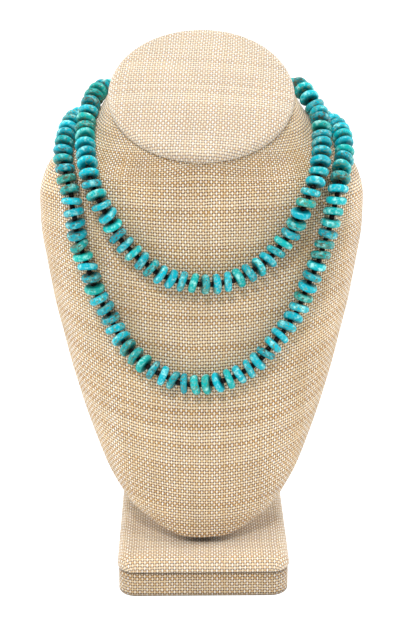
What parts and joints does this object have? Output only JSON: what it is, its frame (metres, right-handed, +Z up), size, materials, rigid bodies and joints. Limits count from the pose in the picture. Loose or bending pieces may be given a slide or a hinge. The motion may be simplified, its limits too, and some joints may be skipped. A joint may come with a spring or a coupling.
{
  "type": "two-strand beaded necklace on a neck bust",
  "caption": "Two strands of flat round stone beads with small dark beads between them, on a linen-covered neck bust with a padded base.",
  "frame": {"origin": "under the middle of the whole, on the surface that the base stands on", "axes": "+Z up, -Y towards the front of the chest, +X to the right seen from the front"},
  "size_m": [0.216, 0.1616, 0.3553],
  "materials": {
    "bead_stone": "polished blue-green stone with brown veins and specks along the rims",
    "spacer_bead": "small glossy brown-black bead",
    "clasp_metal": "plain satin metal",
    "linen": "coarse plain-woven natural jute, cream and tan threads"
  },
  "bodies": {
    "root": {"upper_strand": "bead_stone", "lower_strand": "bead_stone", "clasp": "clasp_metal", "neck_cap": "linen", "bust_form": "linen", "support_post": "linen", "base_pad": "linen", "base_block": "linen"}
  },
  "joints": []
}
